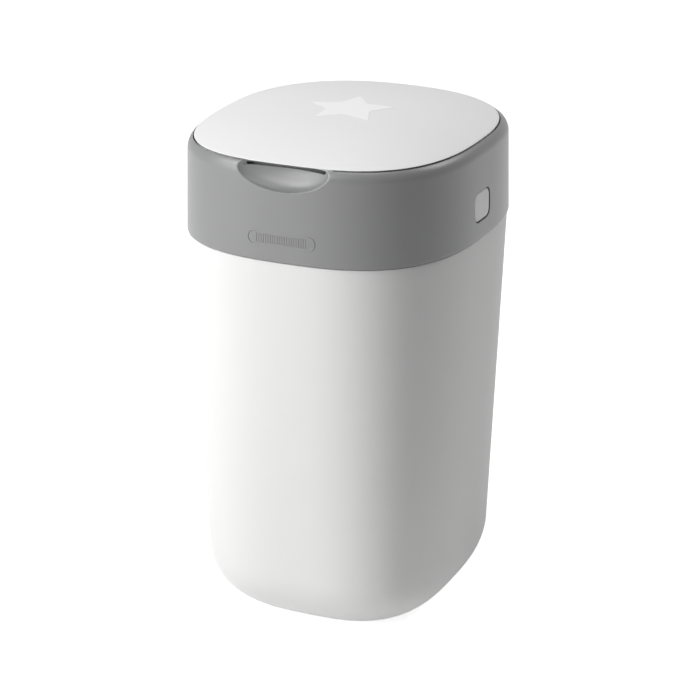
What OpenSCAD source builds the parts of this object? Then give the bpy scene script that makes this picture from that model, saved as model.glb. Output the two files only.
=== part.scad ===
// Nappy bin: a tapered bucket, a tilting upper unit with a twist ring and a refill cassette, and
// a domed lid sunk in the rim. Millimetres, +Z up, the front of the bin faces -Y.

/* [Body] */
// Width of the collar just under its rounded top edge
body_w = 250; // [240:1:260]
// Depth of every level of the body divided by its width
depth_ratio = 1.10; // [1.06:0.01:1.14]
// Height of the shoulder that the upper unit closes on
shoulder_z = 346.2; // [320:0.1:370]
// Height of the lid's edge above the collar's lower edge
collar_h = 82; // [80:0.1:86]
// Wall thickness of the bucket
bucket_wall = 2.6; // [2.2:0.1:3]
// Wall thickness of the collar
collar_wall = 2.6; // [2.2:0.1:2.8]
// Roundness of the collar in plan, 2 is an ellipse and more is squarer
collar_corner = 2.72; // [2.6:0.01:2.9]
// Roundness of the bucket in plan at its foot
base_corner = 2.95; // [2.7:0.01:3.1]

/* [Bucket foot] */
// Half width of the bucket where its wall meets the rounded foot
foot_hw = 112; // [108:1:116]
// How far the rounded foot draws in
foot_reach = 50; // [40:1:54]
// Height of the rounded foot
foot_rise = 56; // [44:1:62]

/* [Lid] */
// Half width of the lid
lid_hw = 119.5; // [119.2:0.1:119.7]
// Roundness of the lid in plan at its front corners
lid_corner_front = 2.85; // [2.75:0.01:2.9]
// Roundness of the lid in plan at its rear corners
lid_corner_rear = 2.34; // [2.25:0.01:2.5]
// Height of the lid's crown above its edge
lid_rise = 12.8; // [9:0.1:15]
// How far the lid's edge stands out over its skirt
lid_lip = 2.2; // [1.8:0.1:2.4]
// How flat the dome is in the middle, higher is flatter
dome_power = 2.5; // [2:0.1:3]
// Distance from the star's centre to its tips
star_r = 37; // [30:1:42]
// Turn of the star about the middle of the lid
star_turn = 22; // [0:1:71]

/* [Finger scoop] */
// Width of the egg-shaped hollow that makes the finger scoop
scoop_w = 88; // [76:1:90]
// Height of the finger scoop below the lid's edge
scoop_h = 22; // [18:1:24]
// Depth of the finger scoop behind the front of the collar
scoop_d = 13; // [10:0.5:13]

/* [Release buttons] */
// Width of a release button, front to back
button_w = 32; // [28:1:34]
// Height of a release button
button_h = 25; // [20:1:26]
// Middle of the release buttons, front to back
button_y = -10; // [-16:1:0]
// Middle of the release buttons above the collar's lower edge
button_up = 28; // [26:1:30]

/* [Cassette] */
// Outer radius of the refill cassette
cassette_r = 88.8; // [86:0.1:89]
// Radius of the opening that a nappy is pushed through
throat_r = 59.5; // [55:0.5:60]
// Pleats in the pack of folded film
film_pleats = 10; // [6:1:14]

/* [Film grip] */
// Fingers that hold the twisted film
grip_fingers = 8; // [6:1:10]
// Radius between the tips of the fingers
grip_tip_r = 35; // [30:1:42]

/* [Hidden] */
$fn = 96;
ring_points = 72;
eps = 0.01;

body_hw = body_w / 2;
seam_gap = 0.8;
collar_z = shoulder_z + seam_gap;
lid_edge_z = collar_z + collar_h;
// The collar flares a little towards its lower edge
collar_flare = 1.4;
rim_round_w = 8.1;
rim_round_h = 11.9;
rim_start_z = lid_edge_z - 12;
pocket_hw = lid_hw + 0.9;
rim_end_angle = acos(1 - (body_hw - pocket_hw) / rim_round_w);
ledge_z = lid_edge_z - 8.5;
ledge_t = 3;
ledge_hw = 107;

floor_z = 1.5;
floor_t = 3.5;
shoulder_hw = body_hw + 0.2;
spigot_hw = 123;
spigot_t = 2.5;
spigot_h = 7;
catch_z = shoulder_z - 11;

lid_corner = [lid_corner_front, lid_corner_rear];
lid_t = 2.4;
lid_skirt_t = 2.2;
lid_lip_t = 0.6;
skirt_hw = lid_hw - lid_lip;
lid_skirt_z = ledge_z + 0.8;
seal_z = ledge_z + 4.5;
crown_z = lid_edge_z + lid_rise;
star_t = 1.6;
liner_z = ledge_z + 0.1;
liner_t = 2;
liner_hw = 106.4;
seal_hw = 111.3;
seal_w = 3.6;

upper_hinge_y = depth_ratio * (body_hw + collar_flare) + 6;
upper_hinge_z = collar_z - 0.4;
upper_barrel_r = 5;
upper_pin_r = 2;
lid_hinge_y = depth_ratio * lid_hw + 0.2;
lid_hinge_z = lid_edge_z - 5.5;
lid_barrel_r = 4;
lid_pin_r = 1.5;
pin_play = 0.05;
knuckle_gap = 0.5;
barrel_gap = 0.7;
lid_arm = 10;
lid_notch = 61;
lid_pin_half = 44.5;

// The finger scoop is half an egg, hollowed out of the front of the collar under the lid's edge
scoop_y = -depth_ratio * body_hw;
scoop_z = lid_edge_z;
scoop_wall = 2;
scoop_gap = 0.7;
bowl_top = seal_z - 0.4;

deck_z = lid_edge_z - 25.5;
deck_t = 2.5;
deck_top = deck_z + deck_t;
plate_z = collar_z + 7;
plate_t = 2.6;
plate_top = plate_z + plate_t;
well_r = 93;
well_t = 2.2;
cup_r = 92.2;
cup_t = 2;
cup_floor_t = 2.4;
cup_z = plate_top + 0.4;
cup_floor = cup_z + cup_floor_t;
cup_top = deck_top + 0.4;
ring_t = 3;
ring_r = 101.5;
tub_t = 1.5;
tub_top = cup_top - 1.4;
cap_t = 2.2;

deck_screw_x = 91;
deck_screw_y = 100;
plate_screw_r = 99;
liner_screw_x = 60;
liner_screw_y = 66;
boss_r = 3.5;
lid_post_h = 13.2;
screw_head_r = 2.8;
screw_head_t = 1.2;
screw_r = 1.2;
screw_hole_r = 1.6;

foot_x = 40;
foot_y = 46;
foot_r = 8;
foot_t = 3;
foot_edge = 0.8;
foot_play = 0.1;

button_z = collar_z + button_up;
button_gap = 0.5;
button_travel = 4;
button_corner = 8;
slider_face = body_hw - 2.8;
slider_t = 2.3;
slider_back = slider_face - slider_t;
slider_w = button_w + 5;
slider_h = button_h + 5;
hook_w = 20;
spring_seat_x = 101;
spring_r = 5;
spring_wire = 0.8;
spring_turns = 6;

cutter_y = -112;
cutter_w = 16;
cutter_rail_h = 6;
cutter_rail_half = 55;

// Origin: middle of the footprint of the whole bin, hinge barrel included
place_y = -(upper_hinge_y + upper_barrel_r - depth_ratio * (body_hw + collar_flare)) / 2;

// Roundness in plan is one number, or two that blend from the front round to the rear
function corner_at(t, corner) =
    is_list(corner) ? corner[0] + (corner[1] - corner[0]) * (1 + sin(t)) / 2 : corner;
function reach(t, corner) =
    let (c = corner_at(t, corner)) pow(pow(abs(cos(t)), c) + pow(abs(sin(t)), c), -1 / c);
function outline(hw, corner) = [
    for (i = [0:ring_points - 1])
        let (t = 360 * i / ring_points, r = hw * reach(t, corner))
            [r * cos(t), depth_ratio * r * sin(t)]
];
function ring(level) = [for (p = outline(level[0], level[2])) [p.x, p.y, level[1]]];
function bucket_corner(z) = base_corner + (collar_corner - base_corner) * z / shoulder_z;
function collar_hw(z) = body_hw + collar_flare * max(0, rim_start_z - z) / (rim_start_z - collar_z);
function dome_z(hw) = lid_edge_z + lid_rise * (1 - pow(hw / lid_hw, dome_power));

// Each level is [half width, height, roundness in plan]
function foot_levels(inset, steps) = [
    for (j = [0:steps])
        let (t = 90 * j / steps, z = floor_z + inset + (foot_rise - inset) * (1 - cos(t)))
            [foot_hw - inset - (foot_reach - inset / 2) * (1 - sin(t)), z, bucket_corner(z)]
];
function reversed(list) = [for (i = [len(list) - 1:-1:0]) list[i]];
function rim_levels(steps) = [
    for (j = [0:steps])
        let (t = rim_end_angle * j / steps)
            [
                body_hw - rim_round_w * (1 - cos(t)),
                rim_start_z + rim_round_h * sin(t),
                [for (c = lid_corner) collar_corner + (c - collar_corner) * j / steps]
            ]
];

// A skin through the levels: capped at both ends, or closed into a tube
module skin(levels, tube = false) {
    n = ring_points;
    m = len(levels);
    points = [for (level = levels) each ring(level)];
    last = tube ? m - 1 : m - 2;
    sides = [
        for (j = [0:last], i = [0:n - 1])
            let (
                a = j * n + i,
                b = j * n + (i + 1) % n,
                c = (j + 1) % m * n + (i + 1) % n,
                d = (j + 1) % m * n + i
            )
                each [[a, d, c], [a, c, b]]
    ];
    foot = [for (i = [0:n - 1]) i];
    head = [for (i = [n - 1:-1:0]) (m - 1) * n + i];
    polyhedron(points = points, faces = tube ? sides : concat([foot, head], sides));
}

module slab(hw, corner, z, t) {
    translate([0, 0, z]) linear_extrude(t) polygon(outline(hw, corner));
}

module along_x(x0, x1, y, z, r) {
    translate([x0, y, z]) rotate([0, 90, 0]) cylinder(h = x1 - x0, r = r);
}

module rounded_box_x(x0, x1, w, h, r) {
    translate([x0, button_y, button_z]) rotate([90, 0, 90]) linear_extrude(x1 - x0) {
        square([w, h - 2 * r], center = true);
        square([w - 2 * r, h], center = true);
        for (sx = [-1, 1], sy = [-1, 1])
            translate([sx * (w / 2 - r), sy * (h / 2 - r)]) circle(r = r);
    }
}

module four_corners(x, y, z) {
    for (sx = [-1, 1], sy = [-1, 1]) translate([sx * x, sy * y, z]) children();
}

module on_side(side) {
    if (side == "left") mirror([1, 0, 0]) children();
    else children();
}

module place() {
    translate([0, place_y, 0]) children();
}

// Upper hinge: the bucket has three knuckles and the collar two, on one pin
bucket_knuckles = [[-46, -31], [-14, 14], [31, 46]];
collar_knuckles = [[-31 + knuckle_gap, -14 - knuckle_gap], [14 + knuckle_gap, 31 - knuckle_gap]];
// Lid hinge: the lid has three knuckles and the collar two, on one pin
lid_knuckles = [[-44, -30], [-12, 12], [30, 44]];
rim_knuckles = [[-30 + knuckle_gap, -12 - knuckle_gap], [12 + knuckle_gap, 30 - knuckle_gap]];

// Sections of the ears that carry the upper hinge's knuckles, about the pin
bucket_ear = [[-11, -2.4], [-5, -2.4], [0, 0], [5, 0], [4, -6], [-11, -26]];
collar_ear = [[-8.6, 3], [-4, 1.2], [0, 0], [5, 0], [4, 6], [-8.6, 28]];

module ear(span, profile) {
    translate([span[0], 0, 0]) rotate([90, 0, 90]) linear_extrude(span[1] - span[0])
        polygon([for (p = profile) [upper_hinge_y + p[0], upper_hinge_z + p[1]]]);
}

module bucket() {
    corner_top = bucket_corner(shoulder_z);
    levels = concat(
        foot_levels(0, 7),
        [
            [shoulder_hw, shoulder_z, corner_top],
            [spigot_hw, shoulder_z, corner_top],
            [spigot_hw, shoulder_z + spigot_h - 1, corner_top],
            [spigot_hw - 1, shoulder_z + spigot_h, corner_top],
            [spigot_hw - spigot_t, shoulder_z + spigot_h, corner_top],
            [spigot_hw - spigot_t, catch_z, corner_top],
            [shoulder_hw - bucket_wall, catch_z, corner_top]
        ],
        reversed(foot_levels(bucket_wall, 7)),
        [[foot_hw - foot_reach - 2, floor_z + floor_t, base_corner]]
    );
    color("whitesmoke") difference() {
        union() {
            skin(levels);
            for (span = bucket_knuckles) {
                along_x(span[0], span[1], upper_hinge_y, upper_hinge_z, upper_barrel_r);
                ear(span, bucket_ear);
            }
        }
        along_x(-50, 50, upper_hinge_y, upper_hinge_z, upper_pin_r + pin_play);
        four_corners(foot_x, foot_y, 0) cylinder(h = foot_t, r = foot_r + foot_play);
    }
}

module rubber_foot(sx, sy) {
    color("dimgray") translate([sx * foot_x, sy * foot_y, 0]) {
        cylinder(h = foot_edge, r1 = foot_r - foot_edge, r2 = foot_r);
        translate([0, 0, foot_edge]) cylinder(h = foot_t - foot_edge, r = foot_r);
    }
}

module upper_hinge_pin() {
    color("silver") {
        along_x(-47.2, 47.2, upper_hinge_y, upper_hinge_z, upper_pin_r);
        for (s = [-1, 1])
            along_x(s * 46.8 - 0.6, s * 46.8 + 0.6, upper_hinge_y, upper_hinge_z, 3.2);
    }
}

module scoop_egg(extra) {
    translate([0, scoop_y, scoop_z])
        scale([scoop_w / 2 + extra, scoop_d + extra, scoop_h + extra]) sphere(r = 1, $fn = 80);
}

// Wall of the scoop, which carries on above the ledge to just under the lid
module scoop_bowl() {
    intersection() {
        difference() {
            scoop_egg(scoop_wall);
            scoop_egg(0);
        }
        skin([[collar_hw(collar_z) - 0.5, collar_z, collar_corner],
              [body_hw - 0.5, rim_start_z, collar_corner],
              [body_hw - 2.6, bowl_top, collar_corner]]);
    }
}

module collar_body() {
    corner = collar_corner;
    inner = collar_hw(collar_z) - collar_wall;
    skin(concat(
        [[collar_hw(collar_z), collar_z, corner]],
        rim_levels(6),
        [
            [pocket_hw, rim_start_z + rim_round_h * sin(rim_end_angle) - 0.4, lid_corner],
            [pocket_hw, ledge_z, lid_corner],
            [ledge_hw, ledge_z, lid_corner],
            [ledge_hw, ledge_z - ledge_t, lid_corner],
            [body_hw - collar_wall, ledge_z - ledge_t, corner],
            [inner, collar_z, corner]
        ]
    ), tube = true);
}

module button_guides() {
    for (s = [-1, 1])
        translate([110, button_y + s * (slider_w / 2 + 1.4) - 1, button_z - slider_h / 2 + 2])
            cube([body_hw - 1.6 - 110, 2, slider_h - 4]);
}

module collar() {
    color("silver") difference() {
        union() {
            difference() {
                collar_body();
                scoop_egg(0);
                translate([-lid_notch, lid_hinge_y - 14, ledge_z + 0.5]) cube([2 * lid_notch, 26, 12]);
            }
            scoop_bowl();
            for (span = collar_knuckles) {
                along_x(span[0], span[1], upper_hinge_y, upper_hinge_z, upper_barrel_r);
                ear(span, collar_ear);
            }
            for (span = rim_knuckles) {
                along_x(span[0], span[1], lid_hinge_y, lid_hinge_z, lid_barrel_r);
                translate([span[0], lid_hinge_y - 1, ledge_z - 1])
                    cube([span[1] - span[0], 4.6, lid_hinge_z - ledge_z + 1]);
            }
            for (side = ["left", "right"]) on_side(side) button_guides();
            four_corners(deck_screw_x, deck_screw_y, deck_top)
                cylinder(h = ledge_z - 1 - deck_top, r = boss_r);
        }
        along_x(-50, 50, upper_hinge_y, upper_hinge_z, upper_pin_r + pin_play);
        along_x(-lid_notch, lid_notch, lid_hinge_y, lid_hinge_z, lid_pin_r + pin_play);
        for (span = lid_knuckles)
            along_x(span[0] - knuckle_gap, span[1] + knuckle_gap, lid_hinge_y, lid_hinge_z,
                lid_barrel_r + barrel_gap);
        for (side = ["left", "right"]) on_side(side)
            rounded_box_x(slider_face, body_hw + 10, button_w + 2 * button_gap,
                button_h + 2 * button_gap, button_corner);
        four_corners(deck_screw_x, deck_screw_y, deck_top - 1) cylinder(h = 9, r = screw_r);
    }
}

module inner_deck() {
    color("gainsboro") difference() {
        union() {
            slab(body_hw - 3.2, collar_corner, deck_z, deck_t);
            difference() {
                slab(ledge_hw + 2, lid_corner, deck_top - 1, ledge_z - ledge_t - 0.2 - deck_top + 1);
                slab(ledge_hw, lid_corner, deck_top - 2, ledge_z);
            }
            translate([0, 0, plate_top]) cylinder(h = deck_z - plate_top + 1, r = well_r + well_t);
            four_corners(plate_screw_r * cos(45), plate_screw_r * sin(45), plate_top)
                cylinder(h = deck_z - plate_top + 1, r = 4.5);
            for (s = [-1, 1])
                translate([s * (spring_seat_x - 4) - 4, button_y - 7, button_z - 7]) cube([8, 14, 14]);
        }
        translate([0, 0, plate_top - 1]) cylinder(h = deck_top - plate_top + 2, r = well_r);
        scoop_egg(scoop_wall + scoop_gap);
        four_corners(deck_screw_x, deck_screw_y, deck_z - 1) cylinder(h = deck_t + 2, r = screw_hole_r);
        four_corners(plate_screw_r * cos(45), plate_screw_r * sin(45), plate_top - 1)
            cylinder(h = 10, r = screw_r);
    }
}

module underside_plate() {
    rail_x = cutter_rail_half;
    color("gainsboro") difference() {
        union() {
            slab(body_hw - 1.8, collar_corner, plate_z, plate_t);
            for (s = [-1, 1]) {
                translate([-rail_x, cutter_y + s * (cutter_w / 2 + 1) - 1, plate_z - cutter_rail_h])
                    cube([2 * rail_x, 2, cutter_rail_h + 1]);
                translate([-rail_x, cutter_y + s * (cutter_w / 2 - 1) - 1, plate_z - cutter_rail_h])
                    cube([2 * rail_x, 2, 1.6]);
                translate([s * rail_x - 1, cutter_y - cutter_w / 2 - 2, plate_z - cutter_rail_h])
                    cube([2, cutter_w + 4, cutter_rail_h + 1]);
            }
        }
        translate([0, 0, plate_z - 1]) cylinder(h = plate_t + 2, r = throat_r + 0.5);
        for (s = [-1, 1])
            translate([s * (slider_back - 4) - 5, button_y - hook_w / 2 - 1.5, plate_z - 1])
                cube([10, hook_w + 3, plate_t + 2]);
        four_corners(plate_screw_r * cos(45), plate_screw_r * sin(45), plate_z - 1)
            cylinder(h = plate_t + 2, r = screw_hole_r);
    }
}

module screw(length) {
    translate([0, 0, -screw_head_t]) cylinder(h = screw_head_t, r = screw_head_r);
    cylinder(h = length, r = screw_r - pin_play);
}

module deck_screws() {
    color("silver") four_corners(deck_screw_x, deck_screw_y, deck_z) screw(9);
}

module plate_screws() {
    color("silver") four_corners(plate_screw_r * cos(45), plate_screw_r * sin(45), plate_z) screw(10);
}

module film_grip() {
    top = plate_z;
    drop = 36;
    root_r = throat_r + 3;
    color("darkgray") difference() {
        union() {
            difference() {
                translate([0, 0, top - 3]) cylinder(h = 3, r = throat_r + 10);
                translate([0, 0, top - 4]) cylinder(h = 5, r = throat_r + 0.5);
            }
            rotate_extrude() polygon([
                [root_r, top - 1], [root_r, top - 4], [grip_tip_r + 4, top - drop + 4],
                [grip_tip_r, top - drop], [grip_tip_r, top - drop + 3], [grip_tip_r + 2, top - drop + 6],
                [root_r - 2.2, top - 1]
            ]);
        }
        for (i = [0:grip_fingers - 1]) rotate([0, 0, 360 * i / grip_fingers])
            translate([grip_tip_r - 6, -2.5, top - drop - 1]) cube([root_r - grip_tip_r + 4, 5, drop - 3]);
    }
}

module lid_hinge_pin() {
    color("silver") along_x(-lid_pin_half, lid_pin_half, lid_hinge_y, lid_hinge_z, lid_pin_r);
}

// Open coil along X, ends flat against what it pushes on
module coil_spring(length, turns, r, wire) {
    steps = 12;
    sides = 6;
    wind = turns * steps;
    rise = length - 2 * wire;
    function spot(i) = [wire + rise * i / wind, r * cos(360 * i / steps), r * sin(360 * i / steps)];
    points = [
        for (i = [0:wind], k = [0:sides - 1])
            let (c = spot(i), a = 360 * i / steps, b = 360 * k / sides)
                [c.x + wire * sin(b), c.y + wire * cos(b) * cos(a), c.z + wire * cos(b) * sin(a)]
    ];
    tube_faces = [
        for (i = [0:wind - 1], k = [0:sides - 1])
            let (a = i * sides + k, b = i * sides + (k + 1) % sides, c = a + sides, d = b + sides)
                each [[a, b, d], [a, d, c]]
    ];
    ends = [[for (k = [sides - 1:-1:0]) k], [for (k = [0:sides - 1]) wind * sides + k]];
    polyhedron(points = points, faces = concat(ends, tube_faces));
}

module latch_spring(side) {
    color("silver") on_side(side) translate([spring_seat_x, button_y, button_z])
        coil_spring(slider_back - spring_seat_x, spring_turns, spring_r, spring_wire);
}

module release_button(side) {
    color("whitesmoke") on_side(side) intersection() {
        rounded_box_x(slider_face, body_hw + 10, button_w, button_h, button_corner - button_gap);
        skin([[collar_hw(collar_z), collar_z, collar_corner], [body_hw, rim_start_z, collar_corner]]);
    }
}

module latch_slider(side) {
    arm_x = slider_back - 3.2;
    arm_low = catch_z - 4.5;
    color("gainsboro") on_side(side) {
        translate([slider_back, button_y - slider_w / 2, button_z - slider_h / 2])
            cube([slider_t, slider_w, slider_h]);
        for (s = [-1, 1])
            translate([slider_back - 8, button_y + s * (slider_w / 2 - 1) - 1, button_z - slider_h / 2 + 2])
                cube([8 + 1, 2, slider_h - 4]);
        along_x(slider_back - 13, slider_back + 1, button_y, button_z, 3);
        translate([arm_x, button_y - hook_w / 2, arm_low])
            cube([2.2, hook_w, button_z - slider_h / 2 + 3 - arm_low]);
        translate([arm_x, button_y - hook_w / 2, button_z - slider_h / 2])
            cube([slider_back - arm_x + 1, hook_w, 3]);
        translate([arm_x + 1, button_y + hook_w / 2, 0]) rotate([90, 0, 0]) linear_extrude(hook_w)
            polygon([
                [0, arm_low], [1.5, arm_low], [spigot_hw - spigot_t - 0.3 - arm_x - 1, arm_low + 3],
                [spigot_hw - spigot_t - 0.3 - arm_x - 1, catch_z - 0.5], [0, catch_z - 0.5]
            ]);
    }
}

module star_flat(r) {
    polygon([
        for (i = [0:9])
            let (tip = i % 2 == 0 ? 1 : 0.5, t = star_turn + 36 * i)
                [r * tip * cos(t), r * tip * sin(t)]
    ]);
}

module lid_body() {
    under = [for (s = [0.08, 0.25, 0.42, 0.58, 0.72, 0.83, 0.895])
        [s * lid_hw, dome_z(s * lid_hw) - lid_t, lid_corner]];
    over = [for (s = [0.99, 0.95, 0.88, 0.79, 0.68, 0.55, 0.42, 0.28, 0.14, 0.04])
        [s * lid_hw, dome_z(s * lid_hw), lid_corner]];
    skin(concat(
        under,
        [
            [seal_hw - seal_w - 0.5, seal_z, lid_corner],
            [skirt_hw - lid_skirt_t, seal_z, lid_corner],
            [skirt_hw - lid_skirt_t, lid_skirt_z, lid_corner],
            [skirt_hw, lid_skirt_z, lid_corner],
            [skirt_hw, lid_edge_z - lid_lip_t, lid_corner],
            [lid_hw, lid_edge_z - lid_lip_t, lid_corner],
            [lid_hw, lid_edge_z - 0.1, lid_corner]
        ],
        over
    ));
}

// Over the scoop the skirt is cut away, so that the fingers reach under the lip
module finger_relief() {
    low = lid_skirt_z - 1;
    intersection() {
        scoop_egg(scoop_wall + scoop_gap);
        translate([-scoop_w / 2, -200, low]) cube([scoop_w, 100, lid_edge_z - lid_lip_t - low]);
    }
}

module lid_shell() {
    color("whitesmoke") difference() {
        union() {
            difference() {
                union() {
                    lid_body();
                    four_corners(liner_screw_x, liner_screw_y, liner_z + liner_t)
                        cylinder(h = lid_post_h, r = boss_r);
                }
                for (span = rim_knuckles)
                    along_x(span[0] - knuckle_gap, span[1] + knuckle_gap, lid_hinge_y, lid_hinge_z,
                        lid_barrel_r + barrel_gap);
                finger_relief();
            }
            for (span = lid_knuckles) {
                along_x(span[0], span[1], lid_hinge_y, lid_hinge_z, lid_barrel_r);
                translate([span[0], lid_hinge_y - lid_arm, seal_z])
                    cube([span[1] - span[0], lid_arm, lid_hinge_z + lid_barrel_r - 0.2 - seal_z]);
            }
        }
        along_x(-50, 50, lid_hinge_y, lid_hinge_z, lid_pin_r + pin_play);
        translate([0, 0, crown_z - star_t]) linear_extrude(star_t + 2) star_flat(star_r + 0.3);
        four_corners(liner_screw_x, liner_screw_y, liner_z + liner_t - 1) cylinder(h = 9, r = screw_r);
    }
}

module lid_star() {
    color("white") translate([0, 0, crown_z - star_t]) linear_extrude(star_t + 0.3) star_flat(star_r);
}

module lid_liner() {
    color("gainsboro") difference() {
        slab(liner_hw, lid_corner, liner_z, liner_t);
        four_corners(liner_screw_x, liner_screw_y, liner_z - 1) cylinder(h = liner_t + 2, r = screw_hole_r);
    }
}

module liner_screws() {
    color("silver") four_corners(liner_screw_x, liner_screw_y, liner_z) screw(9);
}

module lid_seal() {
    color("dimgray") difference() {
        slab(seal_hw, lid_corner, ledge_z + 0.3, seal_z - ledge_z - 0.3);
        slab(seal_hw - seal_w, lid_corner, ledge_z - 1, seal_z - ledge_z + 2);
    }
}

module twist_ring() {
    lug_h = 7;
    color("lightblue") {
        rotate_extrude() polygon([
            [cassette_r + 1.6, cup_top], [ring_r, cup_top], [ring_r, cup_top + 2],
            [ring_r - 1, cup_top + ring_t], [cassette_r + 2.2, cup_top + ring_t],
            [cassette_r + 1.6, cup_top + ring_t - 0.6]
        ]);
        for (i = [0:5]) rotate([0, 0, 60 * i]) translate([ring_r - 5, 0, cup_top + ring_t - 0.5])
            intersection() {
                cylinder(h = lug_h, r1 = 9, r2 = 7.5);
                translate([-5, -20, 0]) cube([9, 40, lug_h]);
            }
    }
}

module cassette_cup() {
    color("gainsboro") difference() {
        translate([0, 0, cup_z]) cylinder(h = cup_top - cup_z, r = cup_r);
        translate([0, 0, cup_floor]) cylinder(h = cup_top, r = cup_r - cup_t);
        translate([0, 0, cup_z - 1]) cylinder(h = 10, r = throat_r + 0.5);
    }
}

module cassette_tub() {
    color("skyblue") rotate_extrude() polygon([
        [throat_r, cup_floor], [cassette_r, cup_floor], [cassette_r, tub_top],
        [cassette_r - tub_t, tub_top], [cassette_r - tub_t, cup_floor + tub_t],
        [throat_r + tub_t, cup_floor + tub_t], [throat_r + tub_t, tub_top - 3],
        [throat_r, tub_top - 3]
    ]);
}

module cassette_cap() {
    color("skyblue") rotate_extrude() polygon([
        [throat_r + 4, tub_top], [cassette_r, tub_top], [cassette_r, tub_top + cap_t - 0.6],
        [cassette_r - 0.6, tub_top + cap_t], [throat_r + 5, tub_top + cap_t], [throat_r + 4, tub_top + 1]
    ]);
}

module film_pack() {
    low = cup_floor + tub_t;
    pitch = (tub_top - 6 - low) / film_pleats;
    pleat = 1.4;
    in_r = throat_r + tub_t + 1.2;
    out_r = cassette_r - tub_t - 1.2;
    inner = [for (i = [0:film_pleats - 1])
        each [[in_r, low + i * pitch], [in_r + pleat, low + (i + 0.5) * pitch]]];
    outer = [for (i = [0:film_pleats - 1])
        each [[out_r, low + i * pitch], [out_r - pleat, low + (i + 0.5) * pitch]]];
    top = low + film_pleats * pitch;
    color("aliceblue") rotate_extrude()
        polygon(concat(outer, [[out_r, top], [in_r, top]], reversed(inner)));
}

module cutter_slider() {
    low = plate_z - cutter_rail_h;
    color("lightblue") difference() {
        union() {
            translate([-14, cutter_y - cutter_w / 2 + 0.4, low + 2]) cube([28, cutter_w - 0.8, 3.6]);
            translate([-12, cutter_y - 5.6, low - 9]) cube([24, 11.2, 12]);
            for (x = [-9:3:9]) along_x_ridge(x, low - 9);
        }
        translate([-1, cutter_y - 7, low - 10]) cube([2, 14, 6]);
        translate([1 - eps, cutter_y - 2, low - 8]) cube([0.6 + eps, 8, 8]);
    }
}

module along_x_ridge(x, z) {
    translate([x - 0.6, cutter_y - 6.4, z + 2]) cube([1.2, 2, 6]);
}

module cutter_blade() {
    low = plate_z - cutter_rail_h;
    color("silver") translate([1, cutter_y - 2, low - 8]) cube([0.6, 8, 8]);
}

place() bucket();
place() rubber_foot(-1, -1);  // foot_front_left
place() rubber_foot(1, -1);  // foot_front_right
place() rubber_foot(-1, 1);  // foot_rear_left
place() rubber_foot(1, 1);  // foot_rear_right
place() upper_hinge_pin();
place() collar();
place() inner_deck();
place() underside_plate();
place() deck_screws();
place() plate_screws();
place() film_grip();
place() lid_hinge_pin();
place() latch_spring("left");  // latch_spring_left
place() latch_spring("right");  // latch_spring_right
place() release_button("left");  // release_button_left
place() release_button("right");  // release_button_right
place() latch_slider("left");  // latch_slider_left
place() latch_slider("right");  // latch_slider_right
place() lid_shell();
place() lid_liner();
place() lid_seal();
place() lid_star();
place() liner_screws();
place() twist_ring();
place() cassette_cup();
place() cassette_tub();
place() cassette_cap();
place() film_pack();
place() cutter_slider();
place() cutter_blade();
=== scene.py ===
import math

import bmesh
import bpy
from mathutils import Matrix, Vector


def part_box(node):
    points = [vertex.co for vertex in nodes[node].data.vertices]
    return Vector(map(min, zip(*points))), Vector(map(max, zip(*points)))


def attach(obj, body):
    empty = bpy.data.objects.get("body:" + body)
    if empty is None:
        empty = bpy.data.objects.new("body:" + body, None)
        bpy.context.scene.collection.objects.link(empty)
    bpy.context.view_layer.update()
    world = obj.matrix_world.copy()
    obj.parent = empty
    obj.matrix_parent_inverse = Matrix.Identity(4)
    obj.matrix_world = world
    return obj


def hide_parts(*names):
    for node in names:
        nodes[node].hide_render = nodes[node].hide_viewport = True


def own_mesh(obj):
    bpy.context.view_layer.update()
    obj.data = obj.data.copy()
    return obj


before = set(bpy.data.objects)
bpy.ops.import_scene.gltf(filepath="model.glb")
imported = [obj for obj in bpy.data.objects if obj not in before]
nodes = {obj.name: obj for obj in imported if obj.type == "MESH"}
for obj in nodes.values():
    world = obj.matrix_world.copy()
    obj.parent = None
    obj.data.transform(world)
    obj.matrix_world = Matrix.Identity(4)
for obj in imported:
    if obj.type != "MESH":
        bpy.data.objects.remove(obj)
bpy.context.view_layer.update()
scene = bpy.context.scene
scene.view_settings.view_transform = "Standard"

# Camera: a long lens a little above the lid, looking from the front and the right.
# The bin's own upright axis is a little in front of the frame's, because of the barrel behind it.
AXIS_Y = (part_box("twist_ring")[0].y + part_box("twist_ring")[1].y) / 2
VIEW_TURN, VIEW_RISE = 24.029, 21.0405
VIEW_DISTANCE = 2.3619
VIEW_TARGET = Vector((0, AXIS_Y, 0.22216))
VIEW_DEPTH = 20
FOCAL_PX = 2697.73
PHOTO_PX = 700
SENSOR_WIDTH = 36


def direction(turn, rise):
    """Unit vector towards a place so many degrees round from the front, and so many above level."""
    turn, rise = math.radians(turn), math.radians(rise)
    return Vector((math.sin(turn) * math.cos(rise), -math.cos(turn) * math.cos(rise), math.sin(rise)))


camera = bpy.data.objects.new("camera", bpy.data.cameras.new("camera"))
scene.collection.objects.link(camera)
towards = direction(VIEW_TURN, VIEW_RISE)
camera.location = VIEW_TARGET + towards * VIEW_DISTANCE
camera.rotation_euler = towards.to_track_quat("Z", "Y").to_euler()
camera.data.sensor_width = SENSOR_WIDTH
camera.data.lens = FOCAL_PX / PHOTO_PX * SENSOR_WIDTH
camera.data.clip_end = VIEW_DEPTH
scene.camera = camera

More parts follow.
